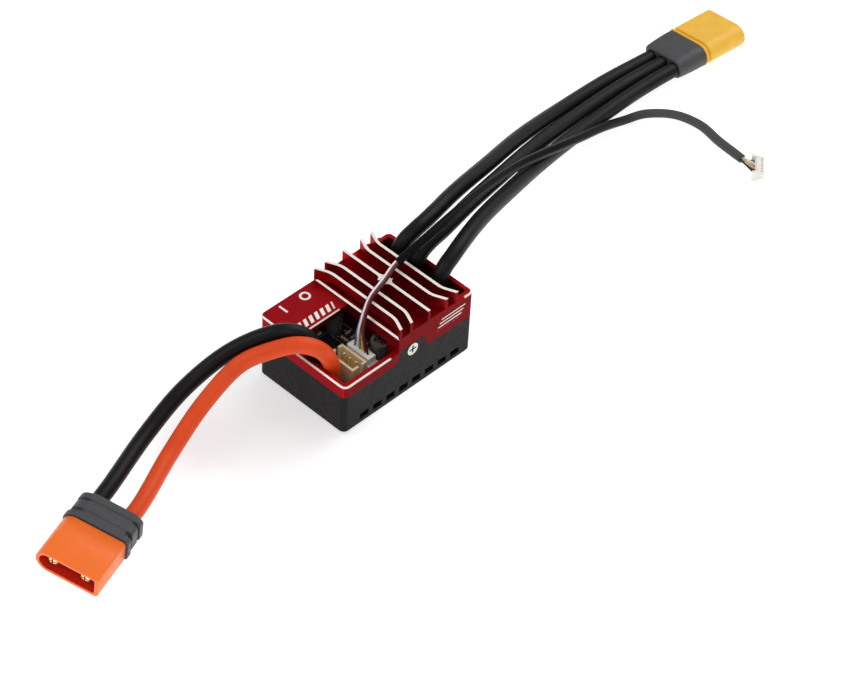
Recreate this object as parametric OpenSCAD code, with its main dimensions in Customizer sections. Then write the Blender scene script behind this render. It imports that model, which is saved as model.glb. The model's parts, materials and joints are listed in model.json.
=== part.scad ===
// Sensored electronic speed controller for a brushless model car motor.
// Millimetres. The origin is the middle of the underside, +X runs towards
// the motor leads, +Y towards the slide switch and +Z is up.

/* [Case] */
// Length of the case along X
case_l = 45; // [44.5:0.1:45.5]
// Width of the case along Y
case_w = 30.2; // [30:0.1:30.4]
// Radius of the upright corners
corner_r = 1.6; // [1.2:0.1:2]
// Thickness of the tray wall
tray_wall = 1.4; // [1.3:0.1:1.5]
// Height of the tray wall round the open window
tray_front_h = 12.5; // [12.4:0.1:12.6]
// Height of the tray wall beside the fins
tray_rear_h = 12.2; // [11.8:0.1:12.4]

/* [Heat sink] */
// Height of the window rim
rim_h = 16; // [15.8:0.1:16.2]
// Height of the flat plateau beside the window
plateau_h = 20; // [19.8:0.1:20.2]
// Height of the deck that carries the fins
deck_h = 20.6; // [20.5:0.1:20.8]
// Height of the fin tops
fin_top = 23.8; // [23.4:0.1:24.2]
// Thickness of one fin
fin_t = 0.8; // [0.8:0.1:1.2]
// Width of the polished edge bevels
bevel = 0.4; // [0.4:0.1:0.6]

/* [Leads] */
// Outside diameter of the battery and motor wires
wire_d = 4.3; // [4:0.1:4.4]
// Outside diameter of the sensor lead's sleeve
sleeve_d = 2.6; // [2.4:0.1:2.7]

/* [Switch] */
// Travel of the power switch between off and on
switch_travel = 2.4; // [2:0.1:2.6]

/* [Hidden] */
$fn = 48;
EPS = 0.01;

half_l = case_l / 2;
half_w = case_w / 2;
floor_t = 1.6;
foot_chamfer = 0.8;

// Side tab of the tray that carries the case screw
tab_x0 = -3.2;
tab_x1 = 5;
tab_h = 16.4;
tab_lean = 20;
tray_step_x = -3.5;
screw_x = 1;
screw_z = 14.2;
screw_r = 1;
screw_head_r = 1.8;
screw_len = 5;
seat_gap = 0.02;

// Ventilation slots along the foot of both long walls
slot_count = 8;
slot_pitch = 4.55;
slot_x0 = -15.4;
slot_l = 3;
slot_z0 = 2;
slot_h = 1.8;

// Heat sink
rim_wall = 1.5;
fine_bevel = 0.3;
skirt_t = 0.8;
skirt_gap = 0.1;
skirt_h = 1.5;
window_x0 = -half_l + rim_wall;
window_x1 = -4;
window_y1 = 3.1;
plateau_t = 1.8;
step_x = -3.5;
deck_under = 17.2;
deck_dish = 1.9;
block_x0 = 0;
block_x1 = 13.6;
block_y = 12.2;
pocket_x0 = 15.1;
pocket_x1 = half_l - rim_wall;
rear_rim_h = 20.2;
fin_mid_x = 6.3;
fin_near = 4.5;
fin_far = 8.15;
fin_bend_y = 10;
fin_bend_r = 6;
fin_bend_a = 24;
fin_foot = 18;

// Boards
power_z = 3.9;
power_t = 1.6;
power_top = power_z + power_t;
power_x = 20.9;
power_y = 13.5;
control_z = 7.4;
control_t = 1;
control_top = control_z + control_t;
control_x0 = -15.9;
control_x1 = -6.3;
control_y = 12.9;
tongue_x = -1.2;
tongue_y = 5.4;
chip_t = 1;
pad_t = 1;
post_x = 19.6;
post_y = 12.2;
post_r = 1;

// Power switch
switch_x = -13.2;
switch_z = 10.6;
switch_y0 = 8.2;
switch_y1 = 13;
switch_l = 8.6;
switch_h = 4.4;
lever_l = 2;
lever_h = 1.8;
lever_tip_y = half_w;
lever_x = switch_x + switch_travel / 2;
scoop_l = 7;
scoop_h = 3.4;

// Window contents
receiver_x0 = -15.5;
receiver_x1 = -10.5;
receiver_y0 = -10.7;
receiver_y1 = -1.9;
receiver_h = 6;
receiver_pitch = 2.1;
receiver_pin_x = -12.1;
receiver_mid_y = -6.3;
socket_x = -8.1;
socket_y = -6.2;
socket_w = 8.8;
socket_t = 3.4;
socket_h = 4.2;
sensor_pitch = 1;
sensor_pins = 6;
can_x = -3.6;
can_y = 8.2;
can_r = 2.3;
can_sleeve = 0.2;
can_h = 9.8;

// Battery plug: its own frame runs from the mouth to the wires
battery_at = [-103.6, -6.1, 4.85];
battery_turn = [8, -5, 17];
battery_w = 17;
battery_h = 7.2;
battery_l = 12.2;
battery_cap_l = 8.8;
battery_pitch = 8.8;
battery_pin_r = 1.5;
battery_shank_r = 1.3;
battery_cavity = 9.6;
battery_wall = 1.05;

// Motor plug: its own frame starts behind the yellow body
motor_at = [152.9, 23.7, 4.5];
motor_turn = [-8, -1, -5];
motor_w = 15;
motor_h = 6.8;
motor_l = 13.4;
motor_lip = 0.65;
motor_groove = 0.95;
motor_cap_l = 10.1;
motor_pitch = 4.5;
motor_bore_r = 1;
motor_bore_l = 8;

// Sensor lead plug: its own frame runs from the wires to its mouth
sensor_at = [128.4, -19.6, 1.5];
sensor_turn = -50;
sensor_w = 8;
sensor_l = 2.9;
sensor_h = 2.9;

// Routes of the leads
pad_top = power_top + 1.5;
entry_gap = 0.15;
orange_route = [
    [-18.6, -6.5, pad_top], [-18.6, -6.5, 12], [-18.8, -6.5, 16], [-20.2, -6, 19.8],
    [-22.5, -4.9, 22.8], [-26, -2.2, 24.3], [-31, 1.9, 22.8], [-37, 6.4, 19], [-48, 7.3, 12.8],
    [-62, 4.1, 7.6], [-77.5, -2.7, 6.5], [-83.7, -4.6, 5.9],
];
black_route = [
    [-18.6, -1.2, pad_top], [-18.6, -1.2, 12], [-18.8, -1.2, 16.2], [-20, -0.9, 20],
    [-22.1, 0.3, 23.4], [-25.5, 3, 24.8], [-30, 7, 23], [-37, 11.8, 18.4], [-48, 14.6, 12.2],
    [-62, 12.5, 8.2], [-80.2, 5.6, 7.7], [-86.4, 3.7, 7.2],
];
motor_a_route = [
    [18.2, 8.2, pad_top], [18.2, 8.2, 14], [18.3, 8.1, 18.5], [19.2, 7.9, 21.8], [22.5, 7.4, 24.4],
    [29, 7.9, 25.4], [42, 11.3, 24], [60, 16.5, 19.6], [80, 22.7, 13.9], [103, 27.6, 8],
    [124, 29.9, 4.6], [136.6, 29.6, 3.7], [143.1, 29, 3.7],
];
motor_b_route = [
    [18.2, 1.8, pad_top], [18.2, 1.8, 14], [18.3, 1.8, 18.5], [19.2, 1.8, 21.8], [22.5, 1.9, 24.2],
    [29, 2.4, 25.2], [42, 6, 23.4], [60, 11.8, 18.5], [80, 18.1, 12.8], [103, 23.1, 7.6],
    [124, 25.4, 4.8], [136.3, 25.2, 4.2], [142.7, 24.6, 4.3],
];
motor_c_route = [
    [18.2, -6.4, pad_top], [18.2, -6.4, 14], [18.3, -6.4, 18.5], [19.2, -6.3, 21.8], [22.2, -6, 23.9],
    [28, -4.4, 25], [40, 0, 23.4], [58, 6.2, 18.5], [78, 12.6, 12.8], [102, 18.3, 7.3],
    [124, 20.9, 4.9], [135.9, 20.7, 4.8], [142.4, 20.2, 4.9],
];
sleeve_route = [
    [11, 1, 26], [18.5, 0.5, 28.2], [27, 1.1, 29.2], [38, 3.2, 28.2], [51, 6.6, 24.9],
    [66, 10.2, 20.1], [76, 11.4, 17.2], [84.5, 12.1, 14.7], [94.4, 13.4, 11.3], [104.8, 15, 7.6],
    [115.5, 16.3, 3.2], [124, 15.2, 1.5], [129.6, 9.6, 1.4], [131.4, 2, 1.4], [130, -6, 1.4],
    [128.8, -15.4, 1.6],
];
bundle_route = [
    [-8.1, -6.2, control_top + 5.4], [-8.1, -6.2, 15], [-7.8, -5.4, 18], [-5.4, -4.2, 22.5], [-2.6, -3.3, 25.4], [3.5, -1.7, 26.3],
    [11, 1, 26],
];
bundle_half = [[2.9, 0.4], [2.9, 0.4], [2.2, 0.5], [1.4, 0.9], [1.1, 1], [1.1, 1], [1.1, 1]];
tail_from = [128.8, -15.4, 1.6];
sensor_entry = 0.5;

// ---------- general shapes ----------

module rounded(l, w, r) {
    square([l - 2 * r, w], center = true);
    square([l, w - 2 * r], center = true);
    for (x = [-1, 1], y = [-1, 1]) translate([x * (l / 2 - r), y * (w / 2 - r)]) circle(r);
}

module slab(l, w, r, z0, z1) {
    translate([0, 0, z0]) linear_extrude(z1 - z0) rounded(l, w, r);
}

// A box between two corners
module block(a, b) {
    translate(a) cube(b - a);
}

// Cuts a 45 degree bevel off the edge that runs along X at y, z
module bevel_x(x0, x1, y, z, c, ny, nz) {
    translate([x0, y, z]) rotate([0, 90, 0]) rotate([0, 0, 90]) linear_extrude(x1 - x0)
        polygon([[-ny * c, EPS * nz], [EPS * ny, EPS * nz], [EPS * ny, -nz * c]]);
}

// Cuts a 45 degree bevel off the edge that runs along Y at x, z
module bevel_y(y0, y1, x, z, c, nx, nz) {
    translate([x, y0, z]) rotate([90, 0, 0]) mirror([0, 0, 1]) linear_extrude(y1 - y0)
        polygon([[-nx * c, EPS * nz], [EPS * nx, EPS * nz], [EPS * nx, -nz * c]]);
}

// Flat profile of a plug with one rounded side (-y) and one square side (+y),
// drawn in the plane across the plug: first axis is y, second is z
module d_profile(w, h, r) {
    translate([-w / 2 + h / 2, 0]) circle(h / 2);
    translate([-w / 2 + h / 2, -h / 2]) square([w - h / 2 - r, h]);
    translate([w / 2 - r - EPS, -h / 2 + r]) square([r + EPS, h - 2 * r]);
    for (z = [-1, 1]) translate([w / 2 - r, z * (h / 2 - r)]) circle(r);
}

// Extrudes a profile drawn in y, z along +X from x0 to x1
module along_x(x0, x1) {
    translate([x0, 0, 0]) rotate([90, 0, 90]) linear_extrude(x1 - x0) children();
}

function unit(v) = v / norm(v);
function heading(p, i) = unit(
    i == 0 ? p[1] - p[0] :
    i == len(p) - 1 ? p[i] - p[i - 1] :
    unit(p[i + 1] - p[i]) + unit(p[i] - p[i - 1]));
// A side direction that stays across the heading and never flips
function side(p, i) = i == 0
    ? unit(cross(heading(p, 0), [1, 0, 0.01]))
    : unit(side(p, i - 1) - heading(p, i) * (side(p, i - 1) * heading(p, i)));
function ring(c, t, s, a, b, n) = [
    for (k = [0:n - 1]) c + s * a * cos(360 * k / n) + cross(t, s) * b * sin(360 * k / n)];

// One closed tube along a route; half holds the two half widths of each ring
module tube(p, half, n) {
    points = [for (i = [0:len(p) - 1]) each ring(p[i], heading(p, i), side(p, i), half[i][0], half[i][1], n)];
    last = n * (len(p) - 1);
    walls = [for (i = [0:len(p) - 2], k = [0:n - 1])
        [i * n + k, i * n + (k + 1) % n, (i + 1) * n + (k + 1) % n, (i + 1) * n + k]];
    polyhedron(points, concat([[for (k = [n - 1:-1:0]) k]], walls, [[for (k = [0:n - 1]) last + k]]));
}

module round_tube(p, d, n) {
    tube(p, [for (i = p) [d / 2, d / 2]], n);
}

// ---------- case ----------

module foot_bevel() {
    c = foot_chamfer;
    for (s = [-1, 1]) {
        bevel_x(-half_l + corner_r, half_l - corner_r, s * half_w, 0, c, s, -1);
        bevel_y(-half_w + corner_r, half_w - corner_r, s * half_l, 0, c, s, -1);
    }
    for (k = [0:3]) {
        x = (k == 0 || k == 3 ? 1 : -1) * (half_l - corner_r);
        y = (k < 2 ? 1 : -1) * (half_w - corner_r);
        translate([x, y, 0]) rotate([0, 0, 90 * k]) rotate_extrude(angle = 90)
            polygon([[corner_r - c, -EPS], [corner_r + EPS, -EPS], [corner_r + EPS, c]]);
    }
}

// Outline of the side tab seen along Y: rounded top corners and leaning sides, grown by g all round
module tab_profile(g) {
    r = 1 + g;
    top = tab_h - 1;
    side_x = r * cos(tab_lean);
    side_z = top + r * sin(tab_lean);
    foot = side_x + side_z * tan(tab_lean);
    for (x = [tab_x0 + 1, tab_x1 - 1]) translate([x, top]) circle(r);
    translate([tab_x0 + 1, 0]) square([tab_x1 - tab_x0 - 2, top + r]);
    polygon([[tab_x0 + 1 - foot, 0], [tab_x1 - 1 + foot, 0],
             [tab_x1 - 1 + side_x, side_z], [tab_x0 + 1 - side_x, side_z]]);
}

module tab_solid(s, y0, y1, g) {
    translate([0, s > 0 ? y1 : -y0, 0]) rotate([90, 0, 0]) linear_extrude(y1 - y0) tab_profile(g);
}

module screw_axis(s, y_out) {
    translate([screw_x, s * y_out, screw_z]) rotate([s * 90, 0, 0]) children();
}

module base_tray() color([0.17, 0.17, 0.165]) difference() {
    union() {
        difference() {
            slab(case_l, case_w, corner_r, 0, tray_front_h);
            slab(case_l - 2 * tray_wall, case_w - 2 * tray_wall, corner_r - 0.8, floor_t, tray_front_h + 1);
            block([tray_step_x, -half_w - 1, tray_rear_h], [half_l + 1, half_w + 1, tray_front_h + 1]);
        }
        intersection() {
            for (s = [-1, 1]) tab_solid(s, half_w - tray_wall, half_w, 0);
            block([-half_l, -half_w, tray_rear_h - 1], [half_l, half_w, tab_h + 1]);
        }
        for (x = [-1, 1], y = [-1, 1]) translate([x * post_x, y * post_y, floor_t - EPS]) {
            cylinder(h = power_z - floor_t + EPS, r = 1.4);
            cylinder(h = power_top - floor_t + EPS, r = post_r - 0.1);
        }
    }
    foot_bevel();
    for (i = [0:slot_count - 1], s = [-1, 1])
        translate([slot_x0 + i * slot_pitch, s * (half_w - tray_wall / 2), slot_z0 + slot_h / 2])
            cube([slot_l, 2 * tray_wall + 1, slot_h], center = true);
    for (s = [-1, 1]) {
        screw_axis(s, half_w + 1) cylinder(h = 4, r = screw_r + 0.1);
        screw_axis(s, half_w + EPS)
            cylinder(h = screw_head_r - screw_r + EPS, r1 = screw_head_r + seat_gap + EPS, r2 = screw_r + seat_gap);
    }
    // Opening and thumb scoop of the slide switch
    lever_reach = (lever_l + switch_travel) / 2 + 0.2;
    block([switch_x - lever_reach, half_w - tray_wall - 1, switch_z - lever_h / 2 - 0.2],
          [switch_x + lever_reach, half_w + 1, switch_z + lever_h / 2 + 0.2]);
    block([switch_x - scoop_l / 2, half_w - 0.7, switch_z - scoop_h / 2],
          [switch_x + scoop_l / 2, half_w + 1, tray_front_h + 1]);
}

// Centreline of one fin from the middle outwards: straight, an arc, straight again.
// bend is +1 where the end leans towards +X, -1 towards -X and 0 where it stays straight.
function fin_side(x, bend, off) = bend == 0
    ? [[x + off, fin_bend_y], [x + off, half_w]]
    : [for (k = [0:6]) let (a = fin_bend_a * k / 6, r = fin_bend_r - bend * off)
          [x + bend * (fin_bend_r - r * cos(a)), fin_bend_y + r * sin(a)]];
function fin_end(x, bend, off) =
    let (q = fin_side(x, bend, off), p = q[len(q) - 1], t = bend == 0 ? 0 : tan(fin_bend_a) * bend)
        [p[0] + t * (half_w - p[1]), half_w];
function fin_edge(x, bend, off) = bend == 0
    ? fin_side(x, 0, off)
    : concat(fin_side(x, bend, off), [fin_end(x, bend, off)]);
function flip_y(q) = [for (p = q) [p[0], -p[1]]];
function back(q) = [for (i = [len(q) - 1:-1:0]) q[i]];

module fin(x, bend) {
    right = fin_edge(x, bend, fin_t / 2);
    left = fin_edge(x, bend, -fin_t / 2);
    translate([0, 0, fin_foot]) linear_extrude(fin_top - fin_foot)
        polygon(concat(right, back(left), flip_y(left), back(flip_y(right))));
}

// Four pointed boss in the middle of the middle fin
module fin_boss() {
    tip_x = 1.6;
    tip_y = 1.2;
    flare = 2.6;
    quarter = [for (k = [0:5]) let (a = 90 * k / 5)
        [fin_t / 2 + (tip_x - fin_t / 2) * (1 - sin(a)), tip_y + (flare - tip_y) * (1 - cos(a))]];
    dent = [for (k = [-2:2]) [tip_x - 0.45 * (1 - pow(k / 2.5, 2)), tip_y * k / 2.5]];
    right = concat(back(flip_y(quarter)), dent, quarter);
    translate([fin_mid_x, 0.4, fin_foot]) linear_extrude(fin_top - fin_foot)
        polygon(concat(right, [for (p = back(right)) [-p[0], p[1]]]));
}

module fins() {
    for (i = [-1, 1]) {
        fin(fin_mid_x + i * fin_near, i);
        fin(fin_mid_x + i * fin_far, i);
    }
    fin(fin_mid_x, 0);
    fin_boss();
}

module cover_walls() {
    difference() {
        union() {
            slab(case_l, case_w, corner_r, tray_rear_h, rim_h);
            intersection() {
                slab(case_l, case_w, corner_r, rim_h - 1, rear_rim_h);
                union() {
                    block([window_x1, -half_w, rim_h - 1], [half_l, half_w, rear_rim_h]);
                    block([-half_l, window_y1, rim_h - 1], [window_x1 + 1, half_w, plateau_h]);
                }
            }
        }
        slab(case_l - 2 * rim_wall, case_w - 2 * rim_wall, corner_r - 0.8, tray_rear_h - 1, 30);
        block([-half_l - 1, -half_w - 1, tray_rear_h - 1], [tray_step_x, half_w + 1, tray_front_h]);
    }
}

// Alignment skirt inside the tray wall
module skirt() {
    l = case_l - 2 * tray_wall - 2 * skirt_gap;
    w = case_w - 2 * tray_wall - 2 * skirt_gap;
    difference() {
        slab(l, w, corner_r - 0.8, tray_rear_h - skirt_h, tray_front_h + 0.5);
        block([-half_l, -w / 2 + skirt_t, 0], [half_l, w / 2 - skirt_t, 30]);
        block([switch_x - switch_l / 2 - 2, 0, 0], [switch_x + switch_l / 2 + 2, half_w, 12.9]);
    }
}

module deck() {
    block([step_x - bevel, -half_w, deck_under], [pocket_x0, half_w, deck_h]);
}

// Dished floor between the fins
module dish() {
    r = (pow(half_w, 2) + pow(deck_dish, 2)) / (2 * deck_dish);
    translate([step_x + 0.6, 0, deck_h - deck_dish + r]) rotate([0, 90, 0]) cylinder(h = 20, r = r, $fn = 180);
}

// Solid flanks under the deck that take the screws
module side_cheeks() {
    reach = half_w - tray_wall - 0.05;
    for (s = [-1, 1]) block([window_x1, s > 0 ? 11 : -reach, tab_h - 5], [8, s > 0 ? reach : -11, deck_under + 0.5]);
}

module corner_bevel(sx, sy, z, c) {
    turn = sx > 0 ? (sy > 0 ? 0 : 270) : (sy > 0 ? 90 : 180);
    translate([sx * (half_l - corner_r), sy * (half_w - corner_r), z]) rotate([0, 0, turn])
        rotate_extrude(angle = 90)
            polygon([[corner_r - c, EPS], [corner_r + EPS, EPS], [corner_r + EPS, -c]]);
}

module cover_body() {
    cover_walls();
    skirt();
    intersection() {
        slab(case_l, case_w, corner_r, 0, 30);
        union() {
            block([-half_l + 0.5, window_y1, plateau_h - plateau_t], [window_x1 + 1, half_w - 0.5, plateau_h]);
            deck();
            side_cheeks();
            block([block_x0, -block_y, power_top + chip_t + pad_t], [block_x1, block_y, deck_under + 0.5]);
        }
    }
}

module heat_sink_cover() color([0.52, 0.07, 0.09]) difference() {
    union() {
        difference() {
            cover_body();
            dish();
            bevel_y(-half_w - 1, half_w + 1, step_x - bevel, deck_h, bevel, -1, 1);
        }
        intersection() {
            slab(case_l, case_w, corner_r, 0, 30);
            fins();
        }
    }
    // Seats for the tray's side tabs, and the screw holes
    for (s = [-1, 1]) tab_solid(s, half_w - tray_wall, half_w + 1, 0.05);
    for (s = [-1, 1]) screw_axis(s, half_w) cylinder(h = screw_len + 1, r = screw_r + 0.05);
    // Polished bevels: plateau, window rim, rear rim
    bevel_y(window_y1, half_w, -half_l, plateau_h, bevel, -1, 1);
    bevel_x(window_x0, step_x - 3, window_y1, plateau_h, fine_bevel, -1, 1);
    bevel_y(-half_w + corner_r, window_y1, -half_l, rim_h, bevel, -1, 1);
    bevel_x(-half_l + corner_r, step_x - 3, -half_w, rim_h, bevel, -1, 1);
    corner_bevel(-1, -1, rim_h, bevel);
    bevel_y(-half_w + corner_r, half_w - corner_r, half_l, rear_rim_h, bevel, 1, 1);
    for (s = [-1, 1]) {
        bevel_x(19, half_l - corner_r, s * half_w, rear_rim_h, bevel, s, 1);
        corner_bevel(1, s, rear_rim_h, bevel);
    }
}

module case_screws() color([0.82, 0.82, 0.8]) for (s = [-1, 1]) difference() {
    union() {
        screw_axis(s, half_w) cylinder(h = screw_head_r - screw_r, r1 = screw_head_r, r2 = screw_r);
        screw_axis(s, half_w) cylinder(h = screw_len, r = screw_r);
    }
    for (a = [0, 90]) screw_axis(s, half_w + 1)
        rotate([0, 0, a]) translate([-1.2, -0.25, 0]) cube([2.4, 0.5, 1.65]);
}

// ---------- power stage ----------

module thermal_pad() color([0.75, 0.78, 0.82])
    block([block_x0 + 0.4, -block_y + 0.3, power_top + chip_t], [block_x1 - 0.4, block_y - 0.3, power_top + chip_t + pad_t]);

module power_board() color([0.05, 0.16, 0.1]) difference() {
    slab(2 * power_x, 2 * power_y, corner_r - 0.8, power_z, power_top);
    for (x = [-1, 1], y = [-1, 1]) translate([x * post_x, y * post_y, 0]) cylinder(h = 10, r = post_r);
}

module power_mosfets() color([0.12, 0.12, 0.13])
    for (i = [0:2], j = [0:3])
        translate([2.9 + i * 3.9, -9 + j * 6, power_top + chip_t / 2]) cube([3.3, 5, chip_t], center = true);

module gate_drivers() color([0.13, 0.13, 0.14])
    for (j = [-1:1]) translate([-8.6, j * 6.5, power_top + 0.4]) cube([3, 3, 0.8], center = true);

module shunt_resistors() color([0.25, 0.25, 0.27])
    for (j = [-1, 1]) translate([-13, j * 3.4, power_top + 0.3]) cube([3.2, 6.3, 0.6], center = true);

module bec_regulator() color([0.12, 0.12, 0.13])
    translate([-12.9, 9.7, power_top + 0.75]) cube([4.6, 5, 1.5], center = true);

module bec_inductor() color([0.3, 0.3, 0.3])
    translate([-8.3, 11.1, power_top]) linear_extrude(1.8) rounded(4.3, 4, 0.8);

module at_cans() for (s = [-1, 1]) translate([can_x, s * can_y, power_top]) children();

module capacitor_cans() color([0.7, 0.7, 0.68]) at_cans() cylinder(h = can_h, r = can_r);

module capacitor_sleeves() color([0.16, 0.17, 0.16]) at_cans() difference() {
    cylinder(h = can_h + can_sleeve, r = can_r + can_sleeve);
    translate([0, 0, -1]) cylinder(h = can_h + 1, r = can_r);
    cylinder(h = can_h + 1, r = can_r - 0.4);
}

// ---------- control board ----------

module control_board() color([0.03, 0.1, 0.07]) translate([0, 0, control_z]) linear_extrude(control_t) {
    // A tongue between the capacitors reaches under the deck
    polygon([[control_x0, -control_y], [control_x1, -control_y], [control_x1, -tongue_y], [tongue_x, -tongue_y],
             [tongue_x, tongue_y], [control_x1, tongue_y], [control_x1, control_y], [-20.4, control_y],
             [-20.4, 4.6], [control_x0, 4.6]]);
}

module link_grid() for (i = [0:2], j = [0:1]) translate([-19.4 + i * 1.2, 5.5 + j * 1.2]) children();

module board_link_strip() color([0.1, 0.1, 0.1])
    block([-20, 4.9, power_top], [-16.4, 7.3, control_z]);

module board_link_pins() color([0.85, 0.72, 0.4])
    link_grid() translate([-0.25, -0.25, control_top]) cube([0.5, 0.5, 0.8]);

module microcontroller() color([0.1, 0.1, 0.11])
    translate([-9.2, 4.6, control_top + 0.4]) cube([5, 5, 0.8], center = true);

module ceramic_capacitors() color([0.7, 0.65, 0.55]) {
    for (j = [0:4]) translate([-15.1, -0.4 + j * 1.3, control_top + 0.35]) cube([1.4, 0.7, 0.7], center = true);
    for (j = [0:3]) translate([-13.2, 0.2 + j * 1.5, control_top + 0.3]) cube([1.2, 0.6, 0.6], center = true);
    for (j = [0:2]) translate([-8.2, 8.6 + j * 1.2, control_top + 0.3]) cube([1.2, 0.6, 0.6], center = true);
    for (j = [0:1]) translate([-14.6 + j * 1.6, -11.9, control_top + 0.3]) cube([0.6, 1.2, 0.6], center = true);
    for (j = [0:4]) translate([-2.6, -4 + j * 2, control_top + 0.3]) cube([1.2, 0.6, 0.6], center = true);
    for (j = [0:4]) translate([-4.8, -3.4 + j * 1.7, control_top + 0.3]) cube([0.6, 1.2, 0.6], center = true);
}

module status_led() color([0.9, 0.9, 0.85])
    translate([-11.3, -11.9, control_top + 0.3]) cube([1.6, 0.8, 0.6], center = true);

module receiver_header() color([0.75, 0.66, 0.46]) difference() {
    block([receiver_x0, receiver_y0, control_top], [receiver_x1, receiver_y1, control_top + receiver_h]);
    block([receiver_x0 + 0.7, receiver_y0 + 0.7, control_top + 1], [receiver_x1 - 0.7, receiver_y1 - 0.7, 30]);
    // Key slots in both end walls
    block([receiver_x0 + 2.3, receiver_y0 - 1, control_top + 1], [receiver_x0 + 3.4, receiver_y1 + 1, 30]);
    for (i = [-1:1]) translate([receiver_pin_x, receiver_mid_y + i * receiver_pitch, control_top - EPS])
        cube([0.54, 0.54, 4], center = true);
}

module receiver_pins() color([0.9, 0.78, 0.5])
    for (i = [-1:1]) translate([receiver_pin_x - 0.25, receiver_mid_y + i * receiver_pitch - 0.25, control_top])
        cube([0.5, 0.5, receiver_h - 0.6]);

module at_socket() translate([socket_x, socket_y, control_top]) children();

module sensor_socket() color([0.85, 0.84, 0.8]) at_socket() difference() {
    block([-socket_t / 2, -socket_w / 2, 0], [socket_t / 2, socket_w / 2, 3.4]);
    block([-socket_t / 2 + 0.4, -socket_w / 2 + 0.5, 0.8], [socket_t / 2 - 0.4, socket_w / 2 - 0.5, 9]);
    for (i = [0:sensor_pins - 1]) translate([-0.2, (i - 2.5) * sensor_pitch - 0.2, -1]) cube([0.4, 0.4, 3]);
}

module sensor_socket_pins() color([0.9, 0.78, 0.5]) at_socket()
    for (i = [0:sensor_pins - 1]) translate([-0.18, (i - 2.5) * sensor_pitch - 0.18, 0]) cube([0.36, 0.36, 2.2]);

module sensor_board_plug() color([0.88, 0.88, 0.86]) at_socket() difference() {
    block([-socket_t / 2 + 0.45, -socket_w / 2 + 0.55, 0.85], [socket_t / 2 - 0.45, socket_w / 2 - 0.55, 5.4]);
    for (i = [0:sensor_pins - 1]) translate([-0.25, (i - 2.5) * sensor_pitch - 0.25, 0]) cube([0.5, 0.5, 3]);
}

// ---------- power switch ----------

module switch_frame() color([0.62, 0.63, 0.64]) difference() {
    reach = (lever_l + switch_travel) / 2 + 0.15;
    block([switch_x - switch_l / 2, switch_y0, control_top],
          [switch_x + switch_l / 2, switch_y1, control_top + switch_h]);
    block([switch_x - reach - 1.1, switch_y0 + 0.8, switch_z - lever_h / 2 - 0.5],
          [switch_x + reach + 1.1, switch_y1 - 0.6, switch_z + lever_h / 2 + 0.5]);
    block([switch_x - reach, switch_y0 + 2, switch_z - lever_h / 2 - 0.15],
          [switch_x + reach, switch_y1 + 1, switch_z + lever_h / 2 + 0.15]);
}

module switch_terminals() color([0.85, 0.85, 0.82])
    for (i = [-1:1]) translate([switch_x + i * 2.5, switch_y0 - 0.4, control_top + 0.15])
        cube([0.6, 0.8, 0.3], center = true);

module switch_lever() color([0.1, 0.1, 0.1]) {
    block([lever_x - lever_l / 2, switch_y0 + 1.8, switch_z - lever_h / 2],
          [lever_x + lever_l / 2, lever_tip_y, switch_z + lever_h / 2]);
    block([lever_x - lever_l / 2 - 0.9, switch_y0 + 1.1, switch_z - lever_h / 2 - 0.2],
          [lever_x + lever_l / 2 + 0.9, switch_y0 + 2.6, switch_z + lever_h / 2 + 0.2]);
}

// ---------- battery lead ----------

module at_battery_plug() translate(battery_at) rotate(battery_turn) children();

module solder_joint(p) translate([p[0], p[1], power_top]) cylinder(h = pad_top - power_top, r1 = 2.25, r2 = 1.9);

module battery_solder_joints() color([0.75, 0.75, 0.74]) {
    solder_joint(orange_route[0]);
    solder_joint(black_route[0]);
}

module battery_wire_black() color([0.16, 0.16, 0.155]) round_tube(black_route, wire_d, 10);

module battery_wire_orange() color([0.86, 0.31, 0.17]) round_tube(orange_route, wire_d, 10);

module battery_plug_housing() color([0.98, 0.5, 0.24]) at_battery_plug() difference() {
    along_x(0, battery_l) mirror([1, 0]) d_profile(battery_w, battery_h, 1);
    along_x(-1, battery_cavity)
        mirror([1, 0]) d_profile(battery_w - 2 * battery_wall, battery_h - 2 * battery_wall, 0.5);
    for (s = [-1, 1]) translate([0, s * battery_pitch / 2, 0]) rotate([0, 90, 0])
        cylinder(h = battery_l + 1, r = battery_shank_r + 0.02);
}

module battery_plug_pins() color([0.93, 0.8, 0.5]) at_battery_plug() for (s = [-1, 1]) difference() {
    union() {
        translate([1, s * battery_pitch / 2, 0]) rotate([0, 90, 0]) cylinder(h = battery_cavity - 1.2, r = battery_pin_r);
        translate([battery_cavity - 1, s * battery_pitch / 2, 0]) rotate([0, 90, 0])
            cylinder(h = battery_l - battery_cavity + 4, r = battery_shank_r);
        translate([battery_l + 0.05, s * battery_pitch / 2, 0]) rotate([0, 90, 0]) cylinder(h = 2.9, r = 2.2);
    }
    translate([0.9, s * battery_pitch / 2 - 0.2, -3]) cube([3.6, 0.4, 6]);
    translate([0.9, s * battery_pitch / 2 - 3, -0.2]) cube([3.6, 6, 0.4]);
}

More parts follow.
